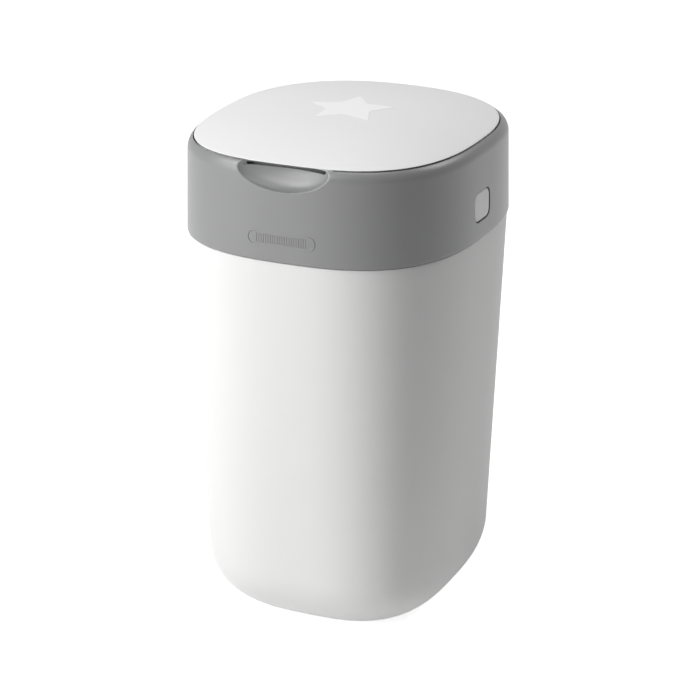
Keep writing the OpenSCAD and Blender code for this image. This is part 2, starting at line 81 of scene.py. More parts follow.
# Studio: a white floor and backdrop, soft boxes low and high at the front left, one high behind
# on the right, and one overhead. Floor and room look plain and pale to the camera and in gloss.
LAMPS = {
    "low_left_lamp": {"turn": -55, "rise": 15, "size": (0.7, 1.1), "watts": 5},
    "low_front_lamp": {"turn": -35, "rise": 15, "size": (0.7, 1.1), "watts": 16.5},
    "high_left_lamp": {"turn": -50, "rise": 42, "size": (0.8, 0.8), "watts": 16.8},
    "high_front_lamp": {"turn": -20, "rise": 42, "size": (0.8, 0.8), "watts": 9},
    "rear_lamp": {"turn": 130, "rise": 42, "size": (0.8, 0.8), "watts": 13},
    "top_lamp": {"turn": 0, "rise": 86, "size": (1.2, 1.2), "watts": 10},
}
LAMP_AWAY = 2.2
ROOM_LIGHT = 0.02
BACKDROP_TONE = 0.8
FLOOR_HALF = 6.0
FLOOR_WHITE = 0.93
FLOOR_ROUGHNESS = 0.9
FLOOR_GLOW = 0.85

for name, lamp in LAMPS.items():
    data = bpy.data.lights.new(name, "AREA")
    data.energy = lamp["watts"]
    data.shape = "RECTANGLE"
    data.size, data.size_y = lamp["size"]
    light = bpy.data.objects.new(name, data)
    towards = direction(lamp["turn"], lamp["rise"])
    light.location = VIEW_TARGET + towards * LAMP_AWAY
    light.rotation_euler = towards.to_track_quat("Z", "Y").to_euler()
    scene.collection.objects.link(light)


def step(tree, kind, inputs, **settings):
    """Adds a node and gives its first output. Each input is a value, or the socket that feeds it."""
    node = tree.nodes.new(kind)
    for key, value in settings.items():
        setattr(node, key, value)
    for key, value in inputs.items():
        if isinstance(value, bpy.types.NodeSocket):
            tree.links.new(value, node.inputs[key])
        else:
            node.inputs[key].default_value = value
    return node.outputs[0]


def reckon(tree, operation, *values):
    """Adds a sum or another piece of arithmetic on these values and sockets."""
    return step(tree, "ShaderNodeMath", dict(enumerate(values)), operation=operation)


def backdrop_rays(tree):
    """1 for what the camera sees directly, in gloss or through glass, and 0 for all other light."""
    path = tree.nodes.new("ShaderNodeLightPath").outputs
    seen = reckon(tree, "MAXIMUM", path["Is Camera Ray"], path["Is Glossy Ray"])
    return reckon(tree, "MAXIMUM", seen, path["Is Transmission Ray"])


def new_material(name):
    """An empty material, its node tree and its shader."""
    material = bpy.data.materials.new(name)
    material.use_nodes = True
    return material, material.node_tree, material.node_tree.nodes["Principled BSDF"]


room = bpy.data.worlds.new("pale_room")
scene.world = room
room.use_nodes = True
tree = room.node_tree
dim = tree.nodes["Background"]
dim.inputs["Color"].default_value = (1, 1, 1, 1)
dim.inputs["Strength"].default_value = ROOM_LIGHT
backdrop = step(tree, "ShaderNodeBackground", {"Color": (BACKDROP_TONE, BACKDROP_TONE, BACKDROP_TONE, 1)})
mix = step(tree, "ShaderNodeMixShader", {0: backdrop_rays(tree), 1: dim.outputs[0], 2: backdrop})
tree.links.new(mix, tree.nodes["World Output"].inputs["Surface"])

floor_mesh = bpy.data.meshes.new("floor")
floor_mesh.from_pydata(
    [(x * FLOOR_HALF, y * FLOOR_HALF, 0) for x, y in ((-1, -1), (1, -1), (1, 1), (-1, 1))], [], [(0, 1, 2, 3)])
floor = bpy.data.objects.new("floor", floor_mesh)
scene.collection.objects.link(floor)
floor_paint, tree, shader = new_material("white_floor")
shader.inputs["Base Color"].default_value = (FLOOR_WHITE, FLOOR_WHITE, FLOOR_WHITE, 1)
shader.inputs["Roughness"].default_value = FLOOR_ROUGHNESS
shader.inputs["Specular IOR Level"].default_value = 0.0
glow = step(tree, "ShaderNodeEmission", {"Strength": FLOOR_GLOW})
glowing = step(tree, "ShaderNodeAddShader", {0: shader.outputs[0], 1: glow})
mix = step(tree, "ShaderNodeMixShader", {0: backdrop_rays(tree), 1: shader.outputs[0], 2: glowing})
tree.links.new(mix, tree.nodes["Material Output"].inputs["Surface"])
floor_mesh.materials.append(floor_paint)

# Bucket: one deep moulding in white plastic, with a satin outside and a big rounded foot.
# Its wall tapers, steps in at the shoulder to the spigot that guides the upper unit, and carries
# three hinge knuckles on ears at the rear. Four sockets in its floor take the feet.
MM = 0.001
DEPTH_RATIO = 1.10
BODY_HW = 125 * MM
COLLAR_FLARE = 1.4 * MM
SHOULDER_Z = 346.2 * MM
FLOOR_Z = 1.5 * MM
FLOOR_T = 3.5 * MM
BUCKET_WALL = 2.6 * MM
COLLAR_CORNER = (2.72, 2.72)
BASE_CORNER = (2.95, 2.95)
FOOT_HW = 112 * MM
FOOT_REACH = 50 * MM
FOOT_RISE = 56 * MM
FOOT_BLEND = 6 * MM
SHOULDER_HW = BODY_HW + 0.2 * MM
SPIGOT_HW = 123 * MM
SPIGOT_T = 2.5 * MM
SPIGOT_H = 7 * MM
CATCH_Z = SHOULDER_Z - 11 * MM
HINGE_Y = AXIS_Y + DEPTH_RATIO * (BODY_HW + COLLAR_FLARE) + 6 * MM
HINGE_Z = SHOULDER_Z + 0.4 * MM
BARREL_R = 4.98 * MM
PIN_R = 2 * MM
PIN_PLAY = 0.05 * MM
BORE_HALF = 50 * MM
EAR_INSET = 0.1 * MM
BUCKET_KNUCKLES = [(-46, -31), (-14, 14), (31, 46)]
BUCKET_EAR = [(-11, -2.4), (-5, -2.4), (0, 0), (5, 0), (4, -6), (-11, -26)]
FEET = ("foot_front_left", "foot_front_right", "foot_rear_left", "foot_rear_right")
SOCKET_PLAY = 0.1 * MM
AROUND = 256
BUCKET_STEP = 14 * MM
FLOW_SIZE, FLOW_DETAIL = 9, 3
GRAIN_DETAIL, GRAIN_HEIGHT = 2, 0.2 * MM
DULL_SPREAD = 0.08


def rounded_square(front, rear, angle):
    """Distance from the axis to a rounded square of half width 1, with its own corners front and rear."""
    corner = front + (rear - front) * (1 + math.sin(angle)) / 2
    return (abs(math.cos(angle)) ** corner + abs(math.sin(angle)) ** corner) ** (-1 / corner)


def soften(levels, radii, steps=4):
    """Rounds the corners of a wall's section. A level is (half width, height, front and rear corner)."""
    path = []
    for i, level in enumerate(levels):
        radius = radii.get(i, 0)
        if radius == 0 or i in (0, len(levels) - 1):
            path.append(level)
            continue
        ends = []
        for other in (levels[i - 1], levels[i + 1]):
            gap = math.hypot(other[0] - level[0], other[1] - level[1])
            share = min(0.45, radius / gap)
            ends.append([a + (b - a) * share for a, b in zip(level, other)])
        for k in range(steps + 1):
            t = k / steps
            path.append(tuple(
                (1 - t) ** 2 * a + 2 * t * (1 - t) * b + t ** 2 * c for a, b, c in zip(ends[0], level, ends[1])))
    return path


def refine(levels, longest):
    """Adds levels so that no stretch of a wall's section is longer than this."""
    path = [levels[0]]
    for a, b in zip(levels, levels[1:]):
        parts = max(1, math.ceil(math.hypot(b[0] - a[0], b[1] - a[1]) / longest))
        path += [tuple(p + (q - p) * k / parts for p, q in zip(a, b)) for k in range(1, parts + 1)]
    return path


def skin(name, levels, tube=False, push=None, angles=None):
    """A closed mesh through the levels, capped at both ends or joined into a tube."""
    angles = angles or [2 * math.pi * i / AROUND for i in range(AROUND)]
    count, rows = len(angles), len(levels)
    points = []
    for half, height, front, rear in levels:
        for angle in angles:
            reach = half * rounded_square(front, rear, angle)
            points.append(Vector((
                reach * math.cos(angle), AXIS_Y + DEPTH_RATIO * reach * math.sin(angle), height)))
    if push:
        points = push(points, count)
    faces = []
    for j in range(rows if tube else rows - 1):
        for i in range(count):
            a, b = j * count + i, j * count + (i + 1) % count
            c, d = ((j + 1) % rows) * count + (i + 1) % count, ((j + 1) % rows) * count + i
            faces.append((a, b, c, d))
    if not tube:
        for row, turn in ((0, True), (rows - 1, False)):
            ring = [row * count + i for i in range(count)]
            middle = len(points)
            points.append(sum((points[k] for k in ring), Vector()) / count)
            for i in range(count):
                a, b = ring[i], ring[(i + 1) % count]
                faces.append((b, a, middle) if turn else (a, b, middle))
    mesh = bpy.data.meshes.new(name)
    mesh.from_pydata(points, [], faces)
    mesh.validate()
    return mesh


def new_object(name, mesh):
    """Puts a mesh in the scene under this name."""
    obj = bpy.data.objects.new(name, mesh)
    scene.collection.objects.link(obj)
    return obj


def round_bar(middle, length, radius, sides, turn):
    """A closed round bar about this middle, along Z before it is turned."""
    bm = bmesh.new()
    bmesh.ops.create_cone(bm, cap_ends=True, segments=sides, radius1=radius, radius2=radius, depth=length,
                          matrix=Matrix.Translation(middle) @ turn)
    mesh = bpy.data.meshes.new("bar")
    bm.to_mesh(mesh)
    bm.free()
    return mesh


def rod(x0, x1, y, z, radius):
    """A round bar along X."""
    return round_bar(((x0 + x1) / 2, y, z), x1 - x0, radius, 48, Matrix.Rotation(math.pi / 2, 4, "Y"))


def post(x, y, z0, z1, radius, sides=32):
    """A round bar along Z."""
    return round_bar((x, y, (z0 + z1) / 2), z1 - z0, radius, sides, Matrix())


def solid(points, faces, merge=0.0, split=False):
    """A closed mesh of these faces, all turned outward.

    Points closer than merge become one. Split cuts faces of many corners into triangles.
    """
    mesh = bpy.data.meshes.new("solid")
    mesh.from_pydata(points, [], faces)
    bm = bmesh.new()
    bm.from_mesh(mesh)
    if merge:
        bmesh.ops.remove_doubles(bm, verts=bm.verts, dist=merge)
    bmesh.ops.recalc_face_normals(bm, faces=bm.faces)
    if split:
        bmesh.ops.triangulate(bm, faces=[face for face in bm.faces if len(face.verts) > 4])
    bm.to_mesh(mesh)
    bm.free()
    return mesh


def prism(outline, axis, low, high):
    """A flat outline carried along an axis. Along X the outline is (y, z), along Z it is (x, y)."""
    count = len(outline)
    if axis == "x":
        points = [(at, p[0], p[1]) for at in (low, high) for p in outline]
    else:
        points = [(p[0], p[1], at) for at in (low, high) for p in outline]
    faces = [tuple(reversed(range(count))), tuple(range(count, 2 * count))]
    faces += [(i, (i + 1) % count, count + (i + 1) % count, count + i) for i in range(count)]
    return solid(points, faces)


def combine(obj, mesh, operation):
    """Joins a closed mesh to the object or cuts it away, for good."""
    tool = new_object("tool", mesh)
    modifier = obj.modifiers.new("combine", "BOOLEAN")
    modifier.operation = operation
    modifier.solver = "MANIFOLD"
    modifier.object = tool
    evaluated = obj.evaluated_get(bpy.context.evaluated_depsgraph_get())
    result = bpy.data.meshes.new_from_object(evaluated)
    obj.modifiers.clear()
    obj.data = result
    bpy.data.objects.remove(tool)


def knuckles(obj, spans, ear, y, z, radius):
    """Hinge barrels along X over these spans, each on an ear that is a little narrower."""
    for low, high in spans:
        combine(obj, prism(ear, "x", low * MM + EAR_INSET, high * MM - EAR_INSET), "UNION")
        combine(obj, rod(low * MM, high * MM, y, z, radius), "UNION")


def shade(obj, sharp=32):
    """Smooth shading, with edges sharper than this many degrees left crisp."""
    obj.data.shade_smooth()
    obj.data.set_sharp_from_angle(angle=math.radians(sharp))


def place(obj, body, slot, material, *replaced):
    """Gives a finished piece its material and its body, and hides the nodes it stands for. The slot is not used."""
    obj.data.materials.clear()
    obj.data.materials.append(material)
    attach(obj, body)
    if replaced:
        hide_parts(*replaced)


def moulded_group():
    """Fine grain and faint flow marks, shared by every moulded plastic and rubber here."""
    tree = bpy.data.node_groups.new("moulded_surface", "ShaderNodeTree")
    make = tree.interface.new_socket
    for name, kind, value in (("Tone", "Color", (0.8, 0.8, 0.8, 1)), ("Roughness", "Float", 0.4),
                              ("Grain Size", "Float", 1400.0), ("Variation", "Float", 0.02)):
        make(name=name, in_out="INPUT", socket_type="NodeSocket" + kind).default_value = value
    for name, kind in (("Color", "Color"), ("Roughness", "Float"), ("Height", "Float")):
        make(name=name, in_out="OUTPUT", socket_type="NodeSocket" + kind)
    given = tree.nodes.new("NodeGroupInput").outputs
    result = tree.nodes.new("NodeGroupOutput").inputs
    where = tree.nodes.new("ShaderNodeTexCoord").outputs["Object"]
    flow = step(tree, "ShaderNodeTexNoise", {"Vector": where, "Scale": FLOW_SIZE, "Detail": FLOW_DETAIL})
    grain = step(tree, "ShaderNodeTexNoise", {
        "Vector": where, "Scale": given["Grain Size"], "Detail": GRAIN_DETAIL})
    spread = reckon(tree, "SUBTRACT", flow, 0.5)
    amount = reckon(tree, "MULTIPLY_ADD", spread, given["Variation"], 1.0)
    tint = step(tree, "ShaderNodeVectorMath", {0: given["Tone"], "Scale": amount}, operation="SCALE")
    dull = reckon(tree, "MULTIPLY_ADD", spread, DULL_SPREAD, given["Roughness"])
    tree.links.new(tint, result["Color"])
    tree.links.new(dull, result["Roughness"])
    tree.links.new(grain, result["Height"])
    return tree


MOULDED = moulded_group()


def plastic(name, tone, roughness, grain_size=1400, grain_depth=0.03, variation=0.02, specular=0.5):
    """A moulded plastic or rubber, with this tone and grain."""
    material, tree, shader = new_material(name)
    shader.inputs["Specular IOR Level"].default_value = specular
    surface = tree.nodes.new("ShaderNodeGroup")
    surface.node_tree = MOULDED
    for label, value in (("Tone", (*tone, 1)), ("Roughness", roughness), ("Grain Size", grain_size),
                         ("Variation", variation)):
        surface.inputs[label].default_value = value
    bump = step(tree, "ShaderNodeBump", {
        "Strength": grain_depth, "Distance": GRAIN_HEIGHT, "Height": surface.outputs["Height"]})
    tree.links.new(surface.outputs["Color"], shader.inputs["Base Color"])
    tree.links.new(surface.outputs["Roughness"], shader.inputs["Roughness"])
    tree.links.new(bump, shader.inputs["Normal"])
    return material


def bucket_corner(z):
    """Corners of the bucket's outline at this height."""
    return tuple(a + (b - a) * z / SHOULDER_Z for a, b in zip(BASE_CORNER, COLLAR_CORNER))


def foot_levels(inset, steps=18):
    """The rounded foot, from the floor up, less an inset."""
    levels = []
    for k in range(steps + 1):
        t = math.pi / 2 * k / steps
        z = FLOOR_Z + inset + (FOOT_RISE - inset) * (1 - math.cos(t))
        levels.append((FOOT_HW - inset - (FOOT_REACH - inset / 2) * (1 - math.sin(t)), z, *bucket_corner(z)))
    return levels


top_corner = bucket_corner(SHOULDER_Z)
outside = foot_levels(0)
foot_end = len(outside)
levels = outside + [
    (SHOULDER_HW, SHOULDER_Z, *top_corner),
    (SPIGOT_HW, SHOULDER_Z, *top_corner),
    (SPIGOT_HW, SHOULDER_Z + SPIGOT_H, *top_corner),
    (SPIGOT_HW - SPIGOT_T, SHOULDER_Z + SPIGOT_H, *top_corner),
    (SPIGOT_HW - SPIGOT_T, CATCH_Z, *top_corner),
    (SHOULDER_HW - BUCKET_WALL, CATCH_Z, *top_corner),
] + foot_levels(BUCKET_WALL)[::-1] + [(FOOT_HW - FOOT_REACH - 2 * MM, FLOOR_Z + FLOOR_T, *BASE_CORNER)]
edges = {foot_end - 1: FOOT_BLEND, foot_end: 0.5 * MM, foot_end + 2: 0.8 * MM, foot_end + 3: 0.8 * MM,
         foot_end + 5: 0.4 * MM}
inner_floor = [(levels[-1][0] * k / 6, levels[-1][1], *BASE_CORNER) for k in range(5, 0, -1)]
outer_floor = [(levels[0][0] * k / 6, FLOOR_Z, *BASE_CORNER) for k in range(1, 6)]
bucket = new_object("bucket_moulding", skin("bucket", refine(
    outer_floor + soften(levels, edges) + inner_floor, BUCKET_STEP)))

ear = [(HINGE_Y + y * MM, HINGE_Z + z * MM) for y, z in BUCKET_EAR]
knuckles(bucket, BUCKET_KNUCKLES, ear, HINGE_Y, HINGE_Z, BARREL_R)
combine(bucket, rod(-BORE_HALF, BORE_HALF, HINGE_Y, HINGE_Z, PIN_R + PIN_PLAY), "DIFFERENCE")
for node in FEET:
    low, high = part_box(node)
    combine(bucket, post((low.x + high.x) / 2, (low.y + high.y) / 2, -high.z, high.z,
                         (high.x - low.x) / 2 + SOCKET_PLAY, 64), "DIFFERENCE")
shade(bucket)
white_satin = plastic("white_satin_plastic", (0.79, 0.79, 0.785), 0.5, specular=0.08)
place(bucket, "base", "bucket_plastic", white_satin, "bucket")

# Feet: four round pads of soft dark rubber, pressed into the sockets in the floor of the bucket.
# They stand a little proud, so that the bin doesn't slide on a smooth floor.


def dress(material, *names):
    """Gives nodes of the frame a new material."""
    for name in names:
        nodes[name].data.materials.clear()
        nodes[name].data.materials.append(material)


dress(plastic("foot_rubber", (0.07, 0.07, 0.072), 0.75, grain_size=900, grain_depth=0.12, specular=0.3), *FEET)

# Upper hinge pin: one drawn steel rod, pushed through the knuckles of the bucket and the collar.
# The upper unit tilts back on it.
MARKS_DETAIL = 4
MARKS_SPREAD = 0.08
MARKS_TONE = 0.92


def metal(name, tone, roughness, marks=60):
    """Drawn or plated steel, with fine marks along the surface."""
    material, tree, shader = new_material(name)
    shader.inputs["Metallic"].default_value = 1
    where = tree.nodes.new("ShaderNodeTexCoord").outputs["Object"]
    worn = step(tree, "ShaderNodeTexNoise", {"Vector": where, "Scale": marks, "Detail": MARKS_DETAIL})
    rough = step(tree, "ShaderNodeMapRange", {
        "Value": worn, "To Min": roughness - MARKS_SPREAD, "To Max": roughness + MARKS_SPREAD})
    mix = tree.nodes.new("ShaderNodeMix")
    mix.data_type = "RGBA"
    mix.inputs["A"].default_value = (*[c * MARKS_TONE for c in tone], 1)
    mix.inputs["B"].default_value = (*tone, 1)
    tree.links.new(worn, mix.inputs["Factor"])
    tree.links.new(mix.outputs["Result"], shader.inputs["Base Color"])
    tree.links.new(rough, shader.inputs["Roughness"])
    return material


hinge_steel = metal("hinge_steel", (0.60, 0.60, 0.61), 0.35)
dress(hinge_steel, "upper_hinge_pin")

# Collar: the grey matte shell of the upper unit, moulded in one piece. Its upper edge rolls in to
# the pocket that the lid sinks into, the front is dished for the fingers, each side has a hole for
# a button, and screw bosses inside take the deck.
COLLAR_Z = SHOULDER_Z + 0.8 * MM
COLLAR_WALL = 2.6 * MM
RIM_START_Z = COLLAR_Z + 70 * MM
RIM_ROUND_W = 8.1 * MM
RIM_ROUND_H = 11.9 * MM
RIM_STEPS = 12
LID_HW = 119.5 * MM
LID_CORNER = (2.85, 2.34)
POCKET_HW = LID_HW + 0.9 * MM
RIM_END = math.acos(1 - (BODY_HW - POCKET_HW) / RIM_ROUND_W)
LEDGE_Z = COLLAR_Z + 73.5 * MM
LEDGE_T = 3 * MM
LEDGE_HW = 107 * MM
LID_EDGE_Z = COLLAR_Z + 82 * MM
SCOOP_W = 88 * MM
SCOOP_H = 22 * MM
SCOOP_D = 13 * MM
SCOOP_WALL = 2 * MM
SCOOP_EDGE = 1.5 * MM
SCOOP_SPAN = 26
SCOOP_MIDDLE = Vector((0, AXIS_Y - DEPTH_RATIO * BODY_HW, LID_EDGE_Z))
SCOOP_EYE = Vector((0, SCOOP_MIDDLE.y - 30 * MM, LID_EDGE_Z - 8 * MM))
DISH_LOW_Z = LID_EDGE_Z - SCOOP_H - 8 * MM
DISH_REAR_Y = AXIS_Y - 80 * MM
EGG_AROUND, EGG_ROWS = 160, 96
EGG_Y = (-200 * MM, -100 * MM)
BOWL_TOP = LEDGE_Z + 3.4 * MM
BOWL_PAST = 4 * MM
BOWL_PLAY = 0.05 * MM
ABOVE_RIM = LID_EDGE_Z + 30 * MM
FRONT_STEPS, REAR_STEPS = 200, 250
FINE_Z = LID_EDGE_Z - SCOOP_H - 4 * MM
COARSE_STEP, FINE_STEP, HIDDEN_STEP = 3 * MM, 0.8 * MM, 2 * MM


def collar_hw(z):
    """Half width of the collar's wall at this height."""
    return BODY_HW + COLLAR_FLARE * max(0, RIM_START_Z - z) / (RIM_START_Z - COLLAR_Z)


rim = []
for k in range(RIM_STEPS + 1):
    t = RIM_END * k / RIM_STEPS
    corner = [a + (b - a) * k / RIM_STEPS for a, b in zip(COLLAR_CORNER, LID_CORNER)]
    rim.append((BODY_HW - RIM_ROUND_W * (1 - math.cos(t)), RIM_START_Z + RIM_ROUND_H * math.sin(t), *corner))
shown = [
    (collar_hw(COLLAR_Z) - COLLAR_WALL, COLLAR_Z, *COLLAR_CORNER),
    (collar_hw(COLLAR_Z), COLLAR_Z, *COLLAR_CORNER),
] + rim + [
    (POCKET_HW, rim[-1][1] - 0.5 * MM, *LID_CORNER),
    (POCKET_HW, LEDGE_Z, *LID_CORNER),
    (LEDGE_HW, LEDGE_Z, *LID_CORNER),
]
hidden = [
    (LEDGE_HW, LEDGE_Z - LEDGE_T, *LID_CORNER),
    (BODY_HW - COLLAR_WALL, LEDGE_Z - LEDGE_T, *COLLAR_CORNER),
    (collar_hw(COLLAR_Z) - COLLAR_WALL, COLLAR_Z, *COLLAR_CORNER),
]
shown = soften(shown, {1: 0.6 * MM, 2: 3 * MM, len(rim) + 1: 0.8 * MM, len(rim) + 3: 0.6 * MM})
low_rows = [level for level in refine(shown, COARSE_STEP) if level[1] < FINE_Z]
fine_rows = [level for level in refine(shown, FINE_STEP) if level[1] >= FINE_Z]
hidden = refine(soften(hidden, {1: 1 * MM}), HIDDEN_STEP)
last_outer_row = len(low_rows) + max(i for i, level in enumerate(fine_rows) if level[0] > POCKET_HW + 0.3 * MM)


def egg_far(p, extra):
    """How far past the eye the ray through this point leaves the egg that hollows out the scoop."""
    axes = (SCOOP_W / 2 + extra, SCOOP_D + extra, SCOOP_H + extra)
    ray = (p - SCOOP_EYE).normalized()
    start = [(e - m) / a for e, m, a in zip(SCOOP_EYE, SCOOP_MIDDLE, axes)]
    pace = [r / a for r, a in zip(ray, axes)]
    square, half = sum(v * v for v in pace), sum(v * w for v, w in zip(pace, start))
    inside = half * half - square * (sum(v * v for v in start) - 1)
    return (-half + math.sqrt(inside)) / square if inside > 0 else 0.0


def dish(points, count):
    """Presses the wall back, along rays from an eye in front, to the far side of the egg."""
    moved = []
    for k, p in enumerate(points):
        if abs(p.x) > SCOOP_W or p.y > DISH_REAR_Y or p.z < DISH_LOW_Z:
            moved.append(p)
            continue
        away = p - SCOOP_EYE
        here, far = away.length, egg_far(p, SCOOP_WALL if k // count > last_outer_row else 0)
        blend = max(0.0, 1 - abs(here - far) / SCOOP_EDGE)
        moved.append(SCOOP_EYE + away * ((max(here, far) + SCOOP_EDGE / 4 * blend ** 2) / here))
    return moved


front_angles = [math.radians(-90 - SCOOP_SPAN + 2 * SCOOP_SPAN * i / FRONT_STEPS) for i in range(FRONT_STEPS)]
rear_angles = [math.radians(-90 + SCOOP_SPAN + (360 - 2 * SCOOP_SPAN) * i / REAR_STEPS) for i in range(REAR_STEPS)]
collar = new_object("collar_moulding", skin(
    "collar", low_rows + fine_rows + hidden[:-1], tube=True, push=dish, angles=front_angles + rear_angles))

COLLAR_KNUCKLES = [(-30.5, -14.5), (14.5, 30.5)]
COLLAR_EAR = [(-8.6, 3), (-4, 1.2), (0, 0), (5, 0), (4, 6), (-8.6, 28)]
LID_KNUCKLES = [(-44, -30), (-12, 12), (30, 44)]
RIM_KNUCKLES = [(-29.5, -12.5), (12.5, 29.5)]
LID_HINGE_Y = AXIS_Y + DEPTH_RATIO * LID_HW + 0.2 * MM
LID_HINGE_Z = LID_EDGE_Z - 5.5 * MM
LID_BARREL_R = 3.4 * MM
LID_BARREL_ROOM = 0.7 * MM
BARREL_END_ROOM = 0.5 * MM
LID_PIN_R = 1.5 * MM
LID_NOTCH = 61 * MM
NOTCH_Y = (LID_HINGE_Y - 14 * MM, LID_HINGE_Y + 12 * MM)
NOTCH_Z = (LEDGE_Z + 0.5 * MM, LEDGE_Z + 12.5 * MM)
RIM_EAR_Y = (LID_HINGE_Y - 1 * MM, LID_HINGE_Y + 3.6 * MM)
RIM_EAR_LOW = LEDGE_Z - 1 * MM


def oblong(y0, y1, z0, z1):
    """Outline of an upright oblong across the bin."""
    return [(y0, z0), (y1, z0), (y1, z1), (y0, z1)]


def block(x0, x1, y0, y1, z0, z1):
    """A plain block between these places, for joining or cutting."""
    return prism(oblong(y0, y1, z0, z1), "x", x0, x1)


def clear_barrels(obj, spans):
    """Cuts room in a piece for the lid hinge's barrels of the other one."""
    for low, high in spans:
        combine(obj, rod(low * MM - BARREL_END_ROOM, high * MM + BARREL_END_ROOM, LID_HINGE_Y, LID_HINGE_Z,
                         LID_BARREL_R + LID_BARREL_ROOM), "DIFFERENCE")


def egg_slice(extra, low, high):
    """The part between two heights of the egg that hollows out the finger scoop."""
    bm = bmesh.new()
    size = Matrix.Diagonal((SCOOP_W / 2 + extra, SCOOP_D + extra, SCOOP_H + extra, 1))
    bmesh.ops.create_uvsphere(bm, u_segments=EGG_AROUND, v_segments=EGG_ROWS, radius=1,
                              matrix=Matrix.Translation(SCOOP_MIDDLE) @ size)
    mesh = bpy.data.meshes.new("egg")
    bm.to_mesh(mesh)
    bm.free()
    egg = new_object("egg", mesh)
    combine(egg, block(-SCOOP_W, SCOOP_W, *EGG_Y, low, high), "INTERSECT")
    result = egg.data
    bpy.data.objects.remove(egg)
    return result


combine(collar, block(-LID_NOTCH, LID_NOTCH, *NOTCH_Y, *NOTCH_Z), "DIFFERENCE")
bowl_end = new_object("bowl_end", egg_slice(BOWL_PAST, BOWL_TOP, ABOVE_RIM))
combine(bowl_end, skin("pocket", [
    (POCKET_HW - BOWL_PLAY, z, *LID_CORNER) for z in (BOWL_TOP - 1 * MM, ABOVE_RIM + 10 * MM)]), "INTERSECT")
combine(collar, bowl_end.data, "DIFFERENCE")
bpy.data.objects.remove(bowl_end)
ear = [(HINGE_Y + y * MM, HINGE_Z + z * MM) for y, z in reversed(COLLAR_EAR)]
knuckles(collar, COLLAR_KNUCKLES, ear, HINGE_Y, HINGE_Z, BARREL_R)
knuckles(collar, RIM_KNUCKLES, oblong(*RIM_EAR_Y, RIM_EAR_LOW, LID_HINGE_Z), LID_HINGE_Y, LID_HINGE_Z,
         LID_BARREL_R)
clear_barrels(collar, LID_KNUCKLES)
combine(collar, rod(-BORE_HALF, BORE_HALF, HINGE_Y, HINGE_Z, PIN_R + PIN_PLAY), "DIFFERENCE")
combine(collar, rod(-LID_NOTCH, LID_NOTCH, LID_HINGE_Y, LID_HINGE_Z, LID_PIN_R + PIN_PLAY), "DIFFERENCE")

BUTTON_LOW, BUTTON_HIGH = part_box("release_button_right")
BUTTON_Y = (BUTTON_LOW.y + BUTTON_HIGH.y) / 2
BUTTON_Z = (BUTTON_LOW.z + BUTTON_HIGH.z) / 2
BUTTON_W = BUTTON_HIGH.y - BUTTON_LOW.y
BUTTON_H = BUTTON_HIGH.z - BUTTON_LOW.z
BUTTON_GAP = 0.75 * MM
BUTTON_CORNER = 7.5 * MM
HOLE_X = (119 * MM, 135 * MM)
GUIDE_X = (110 * MM, BODY_HW - 1.6 * MM)
GUIDE_AWAY = BUTTON_W / 2 + 3.9 * MM
GUIDE_HALF_T, GUIDE_HALF_H = 1 * MM, 13 * MM
DECK_TOP = COLLAR_Z + 59 * MM
BOSS_X, BOSS_Y, BOSS_R = 91 * MM, 100 * MM, 3.5 * MM


def rounded_outline(width, height, radius, steps=8):
    """Corner points of a rounded oblong about (0, 0), turning left."""
    points = []
    for quarter, (sx, sy) in enumerate(((1, 1), (-1, 1), (-1, -1), (1, -1))):
        for k in range(steps + 1):
            t = math.pi / 2 * (quarter + k / steps)
            points.append((sx * (width / 2 - radius) + radius * math.cos(t),
                           sy * (height / 2 - radius) + radius * math.sin(t)))
    return points


hole = [(BUTTON_Y + y, BUTTON_Z + z) for y, z in rounded_outline(
    BUTTON_W + 2 * BUTTON_GAP, BUTTON_H + 2 * BUTTON_GAP, BUTTON_CORNER + BUTTON_GAP)]
combine(collar, prism(hole, "x", HOLE_X[0], HOLE_X[1]), "DIFFERENCE")
combine(collar, prism(hole, "x", -HOLE_X[1], -HOLE_X[0]), "DIFFERENCE")
for sx in (-1, 1):
    for sy in (-1, 1):
        combine(collar, post(sx * BOSS_X, AXIS_Y + sy * BOSS_Y, DECK_TOP, LEDGE_Z - 1 * MM, BOSS_R), "UNION")
    for end in (-1, 1):
        x0, x1 = sorted(sx * x for x in GUIDE_X)
        y = BUTTON_Y + end * GUIDE_AWAY
        combine(collar, block(x0, x1, y - GUIDE_HALF_T, y + GUIDE_HALF_T,
                              BUTTON_Z - GUIDE_HALF_H, BUTTON_Z + GUIDE_HALF_H), "UNION")
shade(collar)
grey_matte = plastic("grey_matte_plastic", (0.212, 0.213, 0.215), 0.38, grain_size=1800, grain_depth=0.06,
                     specular=0.7)
place(collar, "upper_unit", "collar_plastic", grey_matte, "collar")

# Badge: a bare pill-shaped pad with a raised border and fine upright ribs, in the same plastic.
# It is moulded in one with the front of the collar, and follows the curve of its wall.
BADGE_W, BADGE_H = 61 * MM, 13 * MM
BADGE_UP = 19 * MM
BADGE_ROOT = 0.6 * MM
BADGE_LIFT = 0.03 * MM
BADGE_PROUD = 0.45 * MM
BADGE_BORDER = 1.1 * MM
BADGE_ROUND = 0.999
BORDER_STEPS = 8
BADGE_CORNER_STEPS = 20
RIB_COUNT = 22
RIB_PITCH = 2.1 * MM
RIB_HEIGHT = 7.4 * MM
RIB_RADIUS = 0.34 * MM
RIB_STEPS, RIB_SIDES = 9, 10
RIB_FULLNESS, RIB_TAPER = 1.02, 8.0


def front_y(x, z, proud=0.0):
    """Where the collar's front wall is at this place."""
    half = collar_hw(z) + proud
    return AXIS_Y - DEPTH_RATIO * half * (1 - (abs(x) / half) ** COLLAR_CORNER[0]) ** (1 / COLLAR_CORNER[0])


